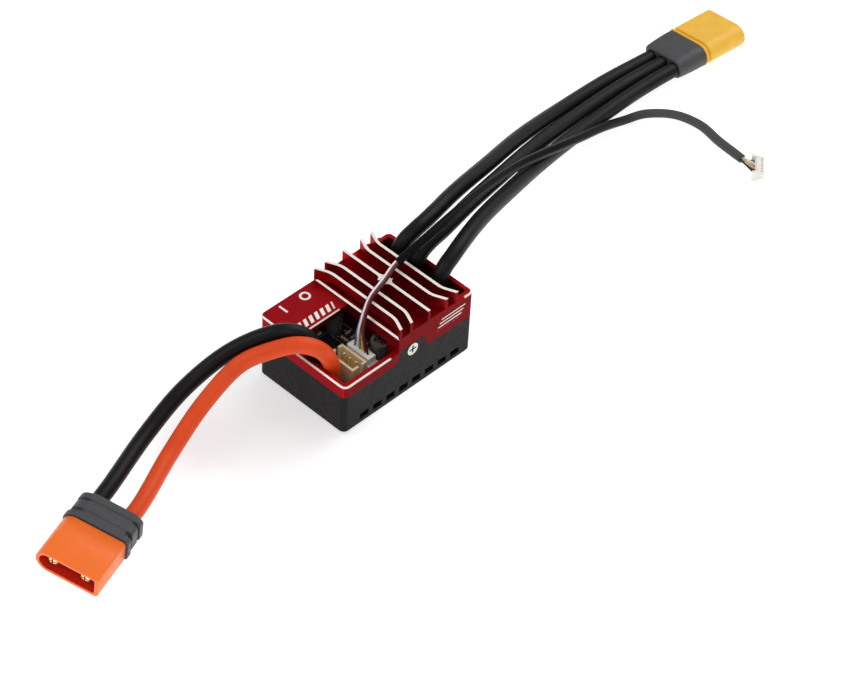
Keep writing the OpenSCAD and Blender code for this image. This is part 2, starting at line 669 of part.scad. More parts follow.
module battery_plug_cap() color([0.3, 0.3, 0.31]) at_battery_plug() difference() {
    end = battery_l + battery_cap_l;
    union() {
        along_x(battery_l, end) mirror([1, 0]) d_profile(battery_w - 0.7, battery_h - 0.6, 1);
        along_x(battery_l + 0.3, battery_l + 2.1) mirror([1, 0]) d_profile(battery_w + 0.9, battery_h + 0.7, 1.2);
        along_x(battery_l + 2.9, battery_l + 5.7) mirror([1, 0]) d_profile(battery_w + 0.3, battery_h + 0.4, 1.2);
        along_x(battery_l + 6.3, end - 0.8) mirror([1, 0]) d_profile(battery_w + 0.2, battery_h + 0.2, 1.2);
    }
    along_x(battery_l - 1, end - 3) mirror([1, 0]) d_profile(battery_w - 2.6, battery_h - 2, 0.6);
    for (s = [-1, 1]) translate([end - 3.5, s * battery_pitch / 2, 0]) rotate([0, 90, 0])
        cylinder(h = 6, r = wire_d / 2 + entry_gap);
}

// ---------- motor lead ----------

module at_motor_plug() translate(motor_at) rotate(motor_turn) children();

module motor_solder_joints() color([0.75, 0.75, 0.74]) {
    solder_joint(motor_a_route[0]);
    solder_joint(motor_b_route[0]);
    solder_joint(motor_c_route[0]);
}

module motor_wire_a() color([0.15, 0.15, 0.145]) round_tube(motor_a_route, wire_d, 10);
module motor_wire_b() color([0.15, 0.15, 0.145]) round_tube(motor_b_route, wire_d, 10);
module motor_wire_c() color([0.15, 0.15, 0.145]) round_tube(motor_c_route, wire_d, 10);

module motor_plug_housing() color([0.91, 0.69, 0.29]) at_motor_plug() difference() {
    union() {
        along_x(0, motor_l) d_profile(motor_w, motor_h, 1);
        along_x(-motor_groove - EPS, EPS) d_profile(motor_w - 1.4, motor_h - 1.2, 0.8);
        along_x(-motor_groove - motor_lip, -motor_groove) d_profile(motor_w + 0.2, motor_h + 0.2, 1);
        along_x(-motor_groove - motor_lip - 2, -motor_groove) d_profile(motor_w - 2.4, motor_h - 2.2, 0.8);
    }
    for (i = [-1:1]) translate([-5, i * motor_pitch, 0]) rotate([0, 90, 0]) cylinder(h = 30, r = 1.52);
}

module motor_plug_sockets() color([0.93, 0.8, 0.5]) at_motor_plug() for (i = [-1:1]) difference() {
    translate([-3.6, i * motor_pitch, 0]) rotate([0, 90, 0]) cylinder(h = motor_l + 3.2, r = 1.5);
    translate([motor_l - 0.4 - motor_bore_l, i * motor_pitch, 0]) rotate([0, 90, 0])
        cylinder(h = motor_bore_l + 1, r = motor_bore_r);
}

module motor_plug_cap() color([0.34, 0.34, 0.35]) at_motor_plug() difference() {
    x1 = -motor_groove - motor_lip;
    x0 = x1 - motor_cap_l;
    union() {
        along_x(x1 - 3, x1) d_profile(motor_w - 0.2, motor_h - 0.1, 1);
        hull() {
            along_x(x1 - 3.1, x1 - 3) d_profile(motor_w - 0.2, motor_h - 0.1, 1, $fn = 32);
            along_x(x0, x0 + 0.1) d_profile(motor_w - 0.6, motor_h - 0.8, 1, $fn = 32);
        }
    }
    along_x(x0 + 3, x1 + 1) d_profile(motor_w - 2.2, motor_h - 2, 0.6);
    along_x(x0 - 1, x0 + 3.1) rounded(2 * motor_pitch + wire_d + 2 * entry_gap, wire_d + 2 * entry_gap, 2);
}

// ---------- sensor lead ----------

module sensor_wires() color([0.5, 0.5, 0.5]) tube(bundle_route, bundle_half, 8);

module sensor_sleeve() color([0.2, 0.2, 0.2]) round_tube(sleeve_route, sleeve_d, 8);

// The six wires fan out flat from the end of the sleeve to the back of the plug
module sensor_tail_wires() color([0.6, 0.6, 0.6]) hull() {
    translate(tail_from) rotate([90, 0, 0]) cylinder(h = 0.2, r = 1.05, $fn = 24);
    at_sensor_plug() block([sensor_entry - 0.1, -2.8, -0.4], [sensor_entry, 2.8, 0.4]);
}

module at_sensor_plug() translate(sensor_at) rotate([0, 0, sensor_turn]) children();

module sensor_lead_plug() color([0.85, 0.85, 0.83]) at_sensor_plug() difference() {
    union() {
        block([sensor_entry, -sensor_w / 2 + 0.5, -sensor_h / 2 + 0.3], [sensor_l, sensor_w / 2 - 0.5, sensor_h / 2 - 0.3]);
        for (s = [-1, 1]) block([-0.4, s > 0 ? sensor_w / 2 - 1 : -sensor_w / 2, -sensor_h / 2],
                                [1.1, s > 0 ? sensor_w / 2 : -sensor_w / 2 + 1, sensor_h / 2]);
        block([0.9, -sensor_w / 2 + 0.5, -sensor_h / 2], [1.9, sensor_w / 2 - 0.5, sensor_h / 2]);
    }
    for (i = [0:sensor_pins - 1]) block(
        [0.8, (i - 2.5) * sensor_pitch - 0.3, -0.6], [sensor_l + 1, (i - 2.5) * sensor_pitch + 0.3, 0.6]);
    // Windows over the contacts
    for (i = [0:sensor_pins - 1]) block(
        [2.1, (i - 2.5) * sensor_pitch - 0.25, 0.5], [2.6, (i - 2.5) * sensor_pitch + 0.25, sensor_h]);
}

module sensor_lead_contacts() color([0.9, 0.78, 0.5]) at_sensor_plug()
    for (i = [0:sensor_pins - 1]) block(
        [0.8, (i - 2.5) * sensor_pitch - 0.25, -0.6], [sensor_l - 0.4, (i - 2.5) * sensor_pitch + 0.25, -0.3]);

base_tray();
heat_sink_cover();
case_screws();
thermal_pad();
power_board();
power_mosfets();
gate_drivers();
shunt_resistors();
bec_regulator();
bec_inductor();
capacitor_cans();
capacitor_sleeves();
control_board();
board_link_strip();
board_link_pins();
microcontroller();
ceramic_capacitors();
status_led();
receiver_header();
receiver_pins();
sensor_socket();
sensor_socket_pins();
sensor_board_plug();
switch_frame();
switch_terminals();
switch_lever();
battery_solder_joints();
battery_wire_black();
battery_wire_orange();
battery_plug_cap();
battery_plug_housing();
battery_plug_pins();
motor_solder_joints();
motor_wire_a();
motor_wire_b();
motor_wire_c();
motor_plug_cap();
motor_plug_housing();
motor_plug_sockets();
sensor_wires();
sensor_sleeve();
sensor_tail_wires();
sensor_lead_plug();
sensor_lead_contacts();
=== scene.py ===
"""Looks of a small sensored speed controller with its battery, motor and sensor leads.

All sizes below are millimetres in the CAD model's frame and are turned into metres when a mesh is made.
The origin is the middle of the case's underside, +X runs to the motor leads, +Y to the slide switch.
"""
import json
import math

import bmesh
import bpy
from mathutils import Euler, Matrix, Vector


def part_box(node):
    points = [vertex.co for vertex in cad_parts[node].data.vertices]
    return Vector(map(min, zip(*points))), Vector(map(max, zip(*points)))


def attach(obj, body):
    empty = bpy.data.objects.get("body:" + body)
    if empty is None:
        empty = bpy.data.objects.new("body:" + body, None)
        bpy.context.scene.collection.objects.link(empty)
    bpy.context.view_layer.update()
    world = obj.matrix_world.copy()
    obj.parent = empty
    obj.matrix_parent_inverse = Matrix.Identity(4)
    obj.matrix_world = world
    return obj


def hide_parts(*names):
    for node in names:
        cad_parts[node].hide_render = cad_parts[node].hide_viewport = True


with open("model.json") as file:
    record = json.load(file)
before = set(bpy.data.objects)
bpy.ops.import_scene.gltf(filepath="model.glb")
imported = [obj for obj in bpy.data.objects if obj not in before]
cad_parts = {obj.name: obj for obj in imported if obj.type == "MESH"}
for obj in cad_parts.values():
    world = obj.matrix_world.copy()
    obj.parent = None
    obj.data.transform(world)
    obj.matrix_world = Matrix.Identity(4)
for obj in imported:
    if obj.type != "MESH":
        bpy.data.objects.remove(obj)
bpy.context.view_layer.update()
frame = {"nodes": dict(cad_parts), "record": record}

MM = 0.001
CASE = "body"

# ---------------------------------------------------------------- camera

AZIMUTH = math.radians(-47.75)
ELEVATION = math.radians(44.07)
ROLL = math.radians(3.34)
DISTANCE = 756.5    # from the origin
AIM_RIGHT = 15.02   # sideways and upwards shift of the camera
AIM_UP = 5.19
LENS = 127.06
SENSOR_WIDTH = 36


def place_camera():
    """A long lens from the front left, a little above 45 degrees."""
    back = Vector((math.sin(AZIMUTH) * math.cos(ELEVATION),
                   -math.cos(AZIMUTH) * math.cos(ELEVATION), math.sin(ELEVATION)))
    level = Vector((math.cos(AZIMUTH), math.sin(AZIMUTH), 0))
    upright = back.cross(level)
    right = level * math.cos(ROLL) + upright * math.sin(ROLL)
    up = upright * math.cos(ROLL) - level * math.sin(ROLL)
    data = bpy.data.cameras.new("camera")
    data.lens = LENS
    data.sensor_width = SENSOR_WIDTH
    data.clip_start = 0.01
    data.clip_end = 20
    camera = bpy.data.objects.new("camera", data)
    bpy.context.scene.collection.objects.link(camera)
    turn = Matrix((right, up, back)).transposed().to_4x4()
    place = (back * DISTANCE + right * AIM_RIGHT + up * AIM_UP) * MM
    camera.matrix_world = Matrix.Translation(place) @ turn
    bpy.context.scene.camera = camera


place_camera()

# ---------------------------------------------------------------- node materials


def node(tree, kind, inputs=None, **settings):
    """A shader node; a value in inputs may be a plain default or another node's socket."""
    made = tree.nodes.new(kind)
    for key, value in settings.items():
        setattr(made, key, value)
    for key, value in (inputs or {}).items():
        if isinstance(value, bpy.types.NodeSocket):
            tree.links.new(value, made.inputs[key])
        else:
            made.inputs[key].default_value = value
    return made


def math_node(tree, operation, a, b=0.0):
    """The result of one sum on one or two values."""
    return node(tree, "ShaderNodeMath", {0: a, 1: b}, operation=operation).outputs[0]


def axes_of(tree, vector):
    """The x, y and z outputs of a vector."""
    return node(tree, "ShaderNodeSeparateXYZ", {0: vector}).outputs


def position(tree):
    """The place on the surface, in metres in the CAD model's frame."""
    return node(tree, "ShaderNodeTexCoord").outputs["Object"]


def facing_of(tree):
    """The way the bare surface faces, as x, y and z."""
    return axes_of(tree, node(tree, "ShaderNodeNewGeometry").outputs["True Normal"])


def noise(tree, size_mm, detail=3.0, where=None):
    """Noise whose lumps are about size_mm across."""
    return node(tree, "ShaderNodeTexNoise",
                {"Vector": where or position(tree), "Scale": 1 / (size_mm * MM), "Detail": detail,
                 "Roughness": 0.55}).outputs["Fac"]


def spread(tree, value, low, high):
    """Stretches the middle of a noise over the range from low to high."""
    return node(tree, "ShaderNodeMapRange",
                {"Value": value, "From Min": 0.3, "From Max": 0.7, "To Min": low, "To Max": high}).outputs[0]


def mix_colour(tree, factor, a, b):
    """Colour a where the factor is 0 and b where it is 1."""
    made = node(tree, "ShaderNodeMix", data_type="RGBA")
    for index, value in ((0, factor), (6, a), (7, b)):
        if isinstance(value, bpy.types.NodeSocket):
            tree.links.new(value, made.inputs[index])
        else:
            made.inputs[index].default_value = value
    return made.outputs[2]


def mix_value(tree, factor, a, b):
    """Value a where the factor is 0 and b where it is 1."""
    return node(tree, "ShaderNodeMix", {0: factor, 2: a, 3: b}).outputs[0]


def shade(colour, factor):
    """The colour made lighter or darker."""
    return tuple(min(1.0, c * factor) for c in colour[:3]) + (1.0,)


def bump(tree, height, depth_mm, strength=1.0, normal=None):
    """Fine relief, on top of the given normal if there is one."""
    inputs = {"Height": height, "Distance": depth_mm * MM, "Strength": strength}
    if normal is not None:
        inputs["Normal"] = normal
    return node(tree, "ShaderNodeBump", inputs).outputs[0]


def fixed(shader, **values):
    """Sets plain numbers on the shader's own sockets."""
    for name, value in values.items():
        shader.inputs[name.replace("_", " ")].default_value = value


def start(name):
    """A new material with its node tree and its shader."""
    material = bpy.data.materials.new(name)
    material.use_nodes = True
    return material, material.node_tree, material.node_tree.nodes["Principled BSDF"]


def plastic(name, colour, rough, grain=0.25, depth=0.012, mottle=0.07, blotch=3.0, dust=0.0, **values):
    """Moulded plastic or rubber: mottled tone, uneven gloss, fine surface grain."""
    material, tree, shader = start(name)
    tone = spread(tree, noise(tree, blotch), 0, 1)
    base = mix_colour(tree, tone, shade(colour, 1 - mottle), shade(colour, 1 + mottle))
    if dust:
        specks = node(tree, "ShaderNodeMapRange",
                      {"Value": noise(tree, 0.35, 1.0), "From Min": 0.70, "From Max": 0.78}).outputs[0]
        base = mix_colour(tree, math_node(tree, "MULTIPLY", specks, dust), base, (0.5, 0.5, 0.48, 1))
    tree.links.new(base, shader.inputs["Base Color"])
    tree.links.new(spread(tree, noise(tree, blotch * 0.4), rough * 0.88, min(1, rough * 1.12)),
                   shader.inputs["Roughness"])
    fine = bump(tree, noise(tree, grain, 2.0), depth)
    tree.links.new(fine, shader.inputs["Normal"])
    fixed(shader, **values)
    return material


def metal(name, colour, rough, grain=0.15, depth=0.004, stretch=(1, 1, 1), bright=1.0):
    """Bare or plated metal with faint machining marks along the stretched axis."""
    material, tree, shader = start(name)
    where = node(tree, "ShaderNodeMapping", {"Vector": position(tree), "Scale": stretch}).outputs[0]
    tone = spread(tree, noise(tree, 1.2, where=where), 0, 1)
    tree.links.new(mix_colour(tree, tone, shade(colour, 0.95), shade(colour, 1.05)),
                   shader.inputs["Base Color"])
    tree.links.new(spread(tree, noise(tree, 0.6, where=where), rough * 0.75, rough * 1.3),
                   shader.inputs["Roughness"])
    tree.links.new(bump(tree, noise(tree, grain, 2.0, where=where), depth), shader.inputs["Normal"])
    fixed(shader, Metallic=bright)
    return material


FIN_TOP = 23.8
DECK_TOP = 20.0
WALL_BEVELS_FROM = 14.0         # no bevel below this height is bare metal
# Painted shade: the screw material turns near black between these heights, in the cross recess
SCREW_RECESS_SHADE = (14.42, 15.04)   # from the floor of the cross recess to just under the screw's face

# Engraved marks: a bar and a ring beside the switch, slanted bars along the window, and level strokes with
# leaning ends on the long side at -Y
BAR_AT = (-16.8, 12.6)
BAR_HALF = (0.3, 1.5)           # half its width and half its length
RING_AT = (-9.6, 12.4)
RING_R = (0.9, 1.5)             # inner and outer radius
DASH_WIDTH, DASH_PITCH, DASH_SLANT = 1.05, 1.9, 0.45
DASH_ALONG, DASH_ACROSS = (-20.9, -9.0), (4.2, 6.5)
STROKE_HEIGHT, STROKE_PITCH, STROKE_LEAN = 0.32, 1.1, 0.55
STROKE_ALONG, STROKE_UP = (1.2, 9.6), (14.6, 17.9)


def inside(tree, value, low, high):
    """1 where value lies between low and high, else 0."""
    above = math_node(tree, "GREATER_THAN", value, low)
    below = math_node(tree, "LESS_THAN", value, high)
    return math_node(tree, "MULTIPLY", above, below)


def both(tree, *masks):
    """1 where every mask is 1."""
    out = masks[0]
    for mask in masks[1:]:
        out = math_node(tree, "MULTIPLY", out, mask)
    return out


def either(tree, *masks):
    """1 where any mask is 1."""
    out = masks[0]
    for mask in masks[1:]:
        out = math_node(tree, "MAXIMUM", out, mask)
    return out


def bright_mask(tree):
    """Where the red anodising is cut away: fin tops, 45 degree bevels and the engraved marks."""
    axes = axes_of(tree, position(tree))
    x, y, z = (math_node(tree, "DIVIDE", axes[i], MM) for i in range(3))
    facing = facing_of(tree)
    tops = math_node(tree, "GREATER_THAN", z, FIN_TOP - 0.04)
    bevels = both(tree, inside(tree, facing[2], 0.66, 0.75),
                  math_node(tree, "GREATER_THAN", z, WALL_BEVELS_FROM))
    flat = both(tree, inside(tree, z, DECK_TOP - 0.1, DECK_TOP + 0.1),
                math_node(tree, "GREATER_THAN", facing[2], 0.99))
    bar = both(tree, inside(tree, x, BAR_AT[0] - BAR_HALF[0], BAR_AT[0] + BAR_HALF[0]),
               inside(tree, y, BAR_AT[1] - BAR_HALF[1], BAR_AT[1] + BAR_HALF[1]))
    off_x = math_node(tree, "SUBTRACT", x, RING_AT[0])
    off_y = math_node(tree, "SUBTRACT", y, RING_AT[1])
    reach = math_node(tree, "SQRT", math_node(tree, "ADD", math_node(tree, "MULTIPLY", off_x, off_x),
                                              math_node(tree, "MULTIPLY", off_y, off_y)))
    ring = inside(tree, reach, *RING_R)
    slant = math_node(tree, "ADD", x, math_node(tree, "MULTIPLY", y, -DASH_SLANT))
    dashes = both(tree, inside(tree, math_node(tree, "FLOORED_MODULO", slant, DASH_PITCH), 0.0, DASH_WIDTH),
                  inside(tree, y, *DASH_ACROSS), inside(tree, slant, *DASH_ALONG))
    lean = math_node(tree, "ADD", x, math_node(tree, "MULTIPLY", z, -STROKE_LEAN))
    strokes = both(tree, inside(tree, facing[1], -1.1, -0.99), inside(tree, z, *STROKE_UP),
                   inside(tree, math_node(tree, "FLOORED_MODULO", z, STROKE_PITCH), 0.0, STROKE_HEIGHT),
                   inside(tree, lean, *STROKE_ALONG))
    return either(tree, tops, bevels, both(tree, flat, either(tree, bar, ring, dashes)), strokes)


def anodised(name):
    """Red anodised aluminium with bright cut edges; the long walls get painted shade, a darker red."""
    red = (0.36, 0.0065, 0.0115, 1)
    painted_shade_wall_red = (0.088, 0.004, 0.006, 1)
    silver = (0.93, 0.90, 0.84, 1)
    material, tree, shader = start(name)
    mask = bright_mask(tree)
    fleck = spread(tree, noise(tree, 0.18, 2.0), 0, 1)
    cloud = spread(tree, noise(tree, 5.0), 0, 1)
    # Painted shade: faces turned towards +Y or -Y take a darker red base colour.
    wall_shade_mask = math_node(tree, "GREATER_THAN", math_node(tree, "ABSOLUTE", facing_of(tree)[1]), 0.6)
    tone = mix_colour(tree, wall_shade_mask, red, painted_shade_wall_red)
    tone = mix_colour(tree, math_node(tree, "MULTIPLY", cloud, 0.16), tone, (0.12, 0.003, 0.006, 1))
    tone = mix_colour(tree, math_node(tree, "MULTIPLY", fleck, 0.35), tone, shade(red, 1.45))
    steel = mix_colour(tree, cloud, shade(silver, 0.96), shade(silver, 1.04))
    tree.links.new(mix_colour(tree, mask, tone, steel), shader.inputs["Base Color"])
    dull = spread(tree, noise(tree, 1.5), 0.36, 0.46)
    bright = spread(tree, noise(tree, 0.5), 0.30, 0.42)
    tree.links.new(mix_value(tree, mask, dull, bright), shader.inputs["Roughness"])
    blast = bump(tree, noise(tree, 0.12, 2.0), 0.006)
    cut = bump(tree, mask, 0.05, 0.6, blast)
    tree.links.new(cut, shader.inputs["Normal"])
    tree.links.new(mix_value(tree, mask, 0.88, 0.25), shader.inputs["Metallic"])
    glance = mix_colour(tree, mask, (0.70, 0.50, 0.50, 1), (1, 1, 1, 1))
    tree.links.new(glance, shader.inputs["Specular Tint"])
    return material


def screw(name):
    """Bright screw head; the cross recess gets painted shade, near black and less metallic."""
    material = metal(name, (0.66, 0.64, 0.60, 1), rough=0.30)
    tree = material.node_tree
    shader = tree.nodes["Principled BSDF"]
    depth = math_node(tree, "ABSOLUTE", axes_of(tree, position(tree))[1])
    # Painted shade over the cross recess
    recess_shade = inside(tree, depth, SCREW_RECESS_SHADE[0] * MM, SCREW_RECESS_SHADE[1] * MM)
    bare = shader.inputs["Base Color"].links[0].from_socket
    tree.links.new(mix_colour(tree, recess_shade, bare, (0.01, 0.009, 0.008, 1)), shader.inputs["Base Color"])
    tree.links.new(mix_value(tree, recess_shade, 0.75, 0.2), shader.inputs["Metallic"])
    return material


def board(name):
    """Dark solder mask with lighter copper tracks under it and small vias."""
    material, tree, shader = start(name)
    where = position(tree)
    tracks = node(tree, "ShaderNodeTexBrick",
                  {"Vector": where, "Scale": 1 / (6 * MM), "Mortar Size": 0.045, "Mortar Smooth": 0.1,
                   "Brick Width": 0.9, "Row Height": 0.11}, offset=0.37, squash=1.6, squash_frequency=3)
    vias = node(tree, "ShaderNodeTexVoronoi", {"Vector": where, "Scale": 1 / (1.7 * MM)}).outputs["Distance"]
    via = math_node(tree, "LESS_THAN", vias, 0.16)
    tone = mix_colour(tree, tracks.outputs["Fac"], (0.012, 0.010, 0.007, 1), (0.034, 0.024, 0.015, 1))
    tree.links.new(mix_colour(tree, via, tone, (0.55, 0.48, 0.34, 1)), shader.inputs["Base Color"])
    tree.links.new(spread(tree, noise(tree, 0.8), 0.25, 0.4), shader.inputs["Roughness"])
    tree.links.new(bump(tree, tracks.outputs["Fac"], 0.03), shader.inputs["Normal"])
    return material


def can_sleeve(name):
    """Black shrink sleeve; the can in the window has a grey stripe on its side towards +X and -Y, partly a
    sleeve stripe and partly a painted highlight of its lit side.
    """
    material, tree, shader = start(name)
    facing = facing_of(tree)
    front = math_node(tree, "LESS_THAN", axes_of(tree, position(tree))[1], 0)
    # Sleeve stripe and painted highlight: the side facing +X and -Y of the front can is light grey
    stripe_and_lit_side = both(tree, front, inside(tree, facing[0], 0.05, 0.75),
                  math_node(tree, "LESS_THAN", facing[1], 0))
    cloud = spread(tree, noise(tree, 0.8), 0, 1)
    dark = mix_colour(tree, cloud, (0.042, 0.044, 0.040, 1), (0.090, 0.094, 0.086, 1))
    tree.links.new(mix_colour(tree, stripe_and_lit_side, dark, (0.62, 0.63, 0.60, 1)), shader.inputs["Base Color"])
    tree.links.new(spread(tree, noise(tree, 0.5), 0.22, 0.36), shader.inputs["Roughness"])
    tree.links.new(bump(tree, noise(tree, 0.6), 0.02), shader.inputs["Normal"])
    return material


def smooth_step(tree, value, low, high):
    """Rises softly from 0 to 1 between low and high."""
    return node(tree, "ShaderNodeMapRange", {"Value": value, "From Min": low, "From Max": high},
                interpolation_type="SMOOTHSTEP").outputs[0]


SLEEVE_FADE = (108, 130)       # where along X the sleeve turns from black to grey


def braid(name):
    """Sleeve over the sensor wires: soft fibre, black near the case and greyer at the far end."""
    material, tree, shader = start(name)
    along = axes_of(tree, position(tree))[0]
    fade = smooth_step(tree, along, SLEEVE_FADE[0] * MM, SLEEVE_FADE[1] * MM)
    fibre = spread(tree, noise(tree, 0.25, 4.0), 0, 1)
    near = mix_colour(tree, fibre, (0.003, 0.003, 0.003, 1), (0.007, 0.007, 0.007, 1))
    far = mix_colour(tree, fibre, (0.055, 0.057, 0.055, 1), (0.100, 0.103, 0.099, 1))
    tree.links.new(mix_colour(tree, fade, near, far), shader.inputs["Base Color"])
    dull = math_node(tree, "MULTIPLY_ADD", fade, 0.35)
    dull.node.inputs[2].default_value = 0.30
    tree.links.new(math_node(tree, "ADD", dull, spread(tree, noise(tree, 0.8), -0.04, 0.04)),
                   shader.inputs["Roughness"])
    tree.links.new(bump(tree, noise(tree, 0.16, 3.0), 0.02), shader.inputs["Normal"])
    fixed(shader, Specular_IOR_Level=0.06)
    return material


# One material for each slot of the record, and a darker red for the battery plug's mouth, which is painted
# shade
M = {
    "case_black": plastic("case_black", (0.0105, 0.0098, 0.0092, 1), rough=0.55, grain=0.16, depth=0.03,
                          mottle=0.14, dust=0.03, Specular_IOR_Level=0.12),
    "anodised_red": anodised("anodised_red"),
    "steel_screw": screw("steel_screw"),
    "silicone_pad": plastic("silicone_pad", (0.55, 0.60, 0.66, 1), rough=0.7),
    "board_green": board("board_green"),
    "chip_black": plastic("chip_black", (0.012, 0.012, 0.013, 1), rough=0.45, grain=0.1, depth=0.01,
                          Specular_IOR_Level=0.35),
    "can_metal": metal("can_metal", (0.75, 0.75, 0.72, 1), rough=0.3),
    "can_sleeve": can_sleeve("can_sleeve"),
    "ceramic": plastic("ceramic", (0.50, 0.36, 0.22, 1), rough=0.3, grain=0.2),
    "lens": plastic("lens", (0.8, 0.8, 0.72, 1), rough=0.15),
    "header_beige": plastic("header_beige", (0.72, 0.57, 0.34, 1), rough=0.42, grain=0.15, mottle=0.10,
                            blotch=1.2, Subsurface_Weight=0.1, Subsurface_Scale=0.0006),
    "contact_gold": metal("contact_gold", (1.0, 0.80, 0.45, 1), rough=0.22),
    "plug_white": plastic("plug_white", (0.86, 0.84, 0.77, 1), rough=0.38, grain=0.2, mottle=0.05,
                          Subsurface_Weight=0.15, Subsurface_Scale=0.0008),
    "switch_metal": metal("switch_metal", (0.62, 0.62, 0.60, 1), rough=0.32, stretch=(0.2, 1, 1)),
    "solder": metal("solder", (0.95, 0.93, 0.88, 1), rough=0.30, grain=0.5, depth=0.03, bright=0.55),
    "wire_black": plastic("wire_black", (0.0055, 0.0052, 0.0052, 1), rough=0.40, grain=0.3, depth=0.01,
                          mottle=0.12, blotch=6, dust=0.03, Specular_IOR_Level=0.17),
    "wire_orange": plastic("wire_orange", (0.75, 0.070, 0.010, 1), rough=0.42, grain=0.3, depth=0.01,
                           mottle=0.07, blotch=6, dust=0.01, Specular_IOR_Level=0.22),
    "sleeve_dark": braid("sleeve_dark"),
    "plug_orange": plastic("plug_orange", (1.0, 0.180, 0.020, 1), rough=0.38, grain=0.3, depth=0.006,
                           mottle=0.04, Specular_IOR_Level=0.35, Subsurface_Weight=0.08,
                           Subsurface_Scale=0.001),
    "mouth_painted_shade_orange": plastic("mouth_painted_shade_orange", (0.55, 0.010, 0.002, 1), rough=0.5, grain=0.3, depth=0.006,
                            Specular_IOR_Level=0.25),
    "plug_yellow": plastic("plug_yellow", (0.90, 0.51, 0.054, 1), rough=0.38, grain=0.3, depth=0.006,
                           mottle=0.05, Specular_IOR_Level=0.35, Subsurface_Weight=0.08,
                           Subsurface_Scale=0.001),
    "cap_grey": plastic("cap_grey", (0.056, 0.057, 0.062, 1), rough=0.48, grain=0.3, depth=0.012, mottle=0.08,
                        Specular_IOR_Level=0.4),
}

# The six sensor wires, in the order of the plug's contacts
THIN_WIRES = {
    "blue": (0.09, 0.13, 0.33, 1),
    "white": (0.85, 0.85, 0.87, 1),
    "green": (0.20, 0.22, 0.10, 1),
    "yellow": (0.72, 0.50, 0.14, 1),
    "red": (0.20, 0.006, 0.014, 1),
    "black": (0.006, 0.006, 0.008, 1),
}
for hue, tint in THIN_WIRES.items():
    M["thin_" + hue] = plastic("thin_" + hue, tint, rough=0.3, grain=0.4, depth=0.004, Specular_IOR_Level=0.3)

# ---------------------------------------------------------------- piece helpers


def adopt(piece, slot, material=None, replaces=()):
    """Gives a new piece its look, the material of its slot unless another is given, hides the CAD nodes it
    replaces, and makes it ride with the case.
    """
    if piece.name not in bpy.context.scene.collection.objects:
        bpy.context.scene.collection.objects.link(piece)
    piece.data.materials.append(M[material or slot])
    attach(piece, CASE)
    for name in replaces:
        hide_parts(name)
    return piece


def mesh_object(name, points, faces):
    """A smooth shaded piece from points in millimetres."""
    mesh = bpy.data.meshes.new(name)
    mesh.from_pydata([Vector(p) * MM for p in points], [], faces)
    mesh.validate()
    whole = bmesh.new()
    whole.from_mesh(mesh)
    bmesh.ops.recalc_face_normals(whole, faces=whole.faces)
    whole.to_mesh(mesh)
    whole.free()
    mesh.polygons.foreach_set("use_smooth", [True] * len(mesh.polygons))
    return bpy.data.objects.new(name, mesh)


def loft(name, rings, place=None):
    """Joins rings of points into one closed skin, with flat ends."""
    count = len(rings[0])
    points = [Vector(p) for ring in rings for p in ring]
    if place is not None:
        points = [place @ p for p in points]
    faces = [list(range(count))[::-1]]
    for i in range(len(rings) - 1):
        for k in range(count):
            a, b = i * count + k, i * count + (k + 1) % count
            faces.append([a, b, b + count, a + count])
    faces.append([count * (len(rings) - 1) + k for k in range(count)])
    return mesh_object(name, points, faces)


def soften(piece, width_mm, segments, angle, clean=False):
    """Rounds every edge sharper than the angle; clean first merges the flat faces of a CAD mesh."""
    if clean:
        weld = piece.modifiers.new("weld", "WELD")
        weld.merge_threshold = 0.000002
        flat = piece.modifiers.new("flat", "DECIMATE")
        flat.decimate_type = "DISSOLVE"
        flat.angle_limit = math.radians(0.5)
    round_off = piece.modifiers.new("round_off", "BEVEL")
    round_off.width = width_mm * MM
    round_off.segments = segments
    round_off.limit_method = "ANGLE"
    round_off.angle_limit = math.radians(angle)
    round_off.harden_normals = False
    even = piece.modifiers.new("even", "WEIGHTED_NORMAL")
    even.keep_sharp = False
    return piece


def carve(piece, cutters):
    """Takes the cutters out of the piece and keeps the result as its mesh."""
    bpy.context.scene.collection.objects.link(piece)
    for cutter in cutters:
        bpy.context.scene.collection.objects.link(cutter)
        cut = piece.modifiers.new("cut", "BOOLEAN")
        cut.operation = "DIFFERENCE"
        cut.solver = "EXACT"
        cut.object = cutter
    graph = bpy.context.evaluated_depsgraph_get()
    result = bpy.data.meshes.new_from_object(piece.evaluated_get(graph))
    piece.modifiers.clear()
    piece.data = result
    result.materials.clear()
    for cutter in cutters:
        bpy.data.objects.remove(cutter)
    result.polygons.foreach_set("use_smooth", [True] * len(result.polygons))
    return piece


def d_ring(x, w, h, corner, round_side=-1, steps=16):
    """Plug outline across x: one side fully round, the other square with small corners."""
    r = h / 2
    corner = min(corner, r * 0.98)
    outline = []
    for k in range(steps + 1):
        a = math.pi / 2 + math.pi * k / steps
        outline.append((-w / 2 + r + r * math.cos(a), r * math.sin(a)))
    corner_steps = 6
    for centre_z, begin in ((-r + corner, -math.pi / 2), (r - corner, 0.0)):
        for k in range(corner_steps + 1):
            a = begin + math.pi / 2 * k / corner_steps
            outline.append((w / 2 - corner + corner * math.cos(a), centre_z + corner * math.sin(a)))
    return [(x, -round_side * y, z) for y, z in outline]


def circle_ring(x, y, z, r):
    """A circle across x."""
    count = 40
    return [(x, y + r * math.cos(2 * math.pi * k / count), z + r * math.sin(2 * math.pi * k / count))
            for k in range(count)]


def rod(name, x0, x1, y, z, r, place):
    """A round bar along x, used to cut holes."""
    return loft(name, [circle_ring(x0, y, z, r), circle_ring(x1, y, z, r)], place)


def frame_at(at, turn):
    """Place of a plug: a point in millimetres and turns in degrees about X, then Y, then Z."""
    return Matrix.Translation(Vector(at)) @ Euler([math.radians(a) for a in turn], "XYZ").to_matrix().to_4x4()


# ---------------------------------------------------------------- leads: routes as in the CAD model

WIRE_D = 4.3
SLEEVE_D = 2.6
THIN_D = 0.55
PAD_TOP = 7.0       # where the thick wires start in their solder joints

